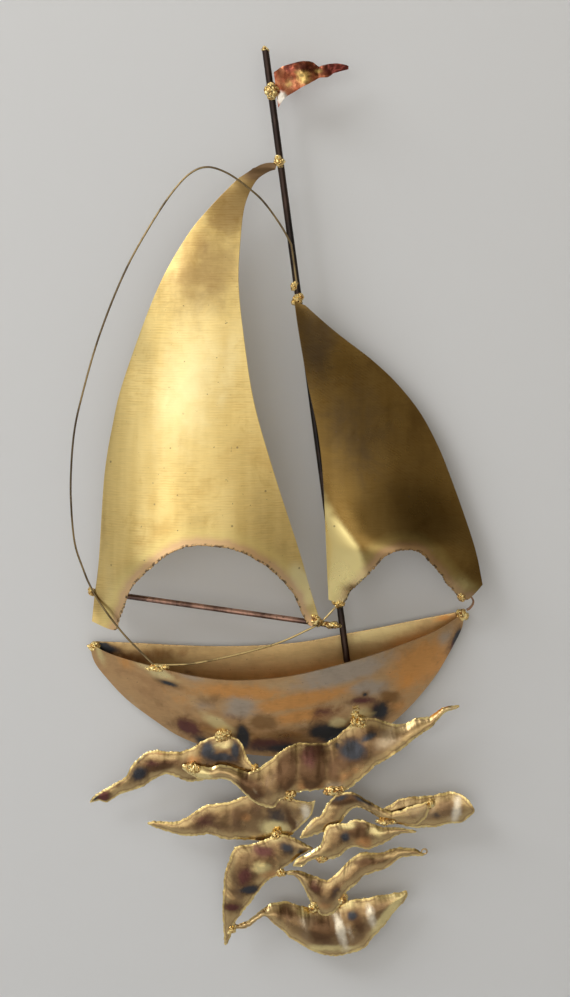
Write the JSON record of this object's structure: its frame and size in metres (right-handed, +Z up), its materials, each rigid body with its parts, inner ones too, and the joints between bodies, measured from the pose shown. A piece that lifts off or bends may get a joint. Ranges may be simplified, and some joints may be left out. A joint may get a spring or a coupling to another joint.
{
  "type": "wall sculpture",
  "caption": "Decorative wall sculpture of a sailboat with bowed sheet-brass sails, a pocket-shaped hull and a pennant, riding on torch-cut brass waves; hangs flat on a wall.",
  "frame": {"origin": "on the back face of the hull's flat back plate, near the middle of the hull, where the work rests against the wall", "axes": "+Z up the wall, +X to the viewer's right, +Y into the wall; the front faces -Y and the boat keeps the lean it has in the picture"},
  "size_m": [0.2819, 0.0477, 0.6299],
  "materials": {
    "sail_brass": "satin sheet brass with fine brush lines, small dark specks and a rosy heat tint along the torch-cut foot",
    "hull_brass": "heat-tinted sheet brass, tan to copper with grey, purple and blue-black patches near the joints",
    "wave_brass": "torch-cut sheet brass, golden melted edges round brown and slate heat tints",
    "braze": "bright lumps of melted brazing metal",
    "rod": "rod blackened by heat, with copper-brown lights",
    "wire": "dull thin rod, brown to olive",
    "pennant_copper": "copper-red thin sheet with splashes of gold braze and a silver-white patch"
  },
  "bodies": {
    "root": {"hull_back_plate": "hull_brass", "hull_front_plate": "hull_brass", "mast": "rod", "boom": "rod", "mainsail": "sail_brass", "jib": "sail_brass", "pennant": "pennant_copper", "shroud_wire": "wire", "sheet_wire": "wire", "bow_link": "rod", "wave_upper_left": "wave_brass", "wave_upper_right": "wave_brass", "wave_middle_left": "wave_brass", "wave_arch": "wave_brass", "wave_middle_right": "wave_brass", "wave_centre_right": "wave_brass", "wave_lower_left": "wave_brass", "wave_lower_right": "wave_brass", "wave_bottom": "wave_brass", "braze_mast_top": "braze", "braze_pennant": "braze", "braze_main_head": "braze", "braze_shroud_head": "braze", "braze_jib_head": "braze", "braze_boom_aft": "braze", "braze_rim": "braze", "braze_main_tack": "braze", "braze_jib_tack": "braze", "braze_boom_fore": "braze", "braze_mast_foot": "braze", "braze_jib_clew": "braze", "braze_bow": "braze", "braze_stern": "braze", "braze_hull_left": "braze", "braze_hull_right": "braze", "braze_seam_left": "braze", "braze_seam_right": "braze", "braze_arch_top": "braze", "braze_flap": "braze", "braze_lower_left": "braze", "braze_lower_pair": "braze", "braze_centre": "braze", "braze_centre_fold": "braze", "braze_right_tail": "braze", "braze_bottom_left": "braze", "braze_bottom_middle": "braze", "braze_bottom_right": "braze"}
  },
  "joints": []
}
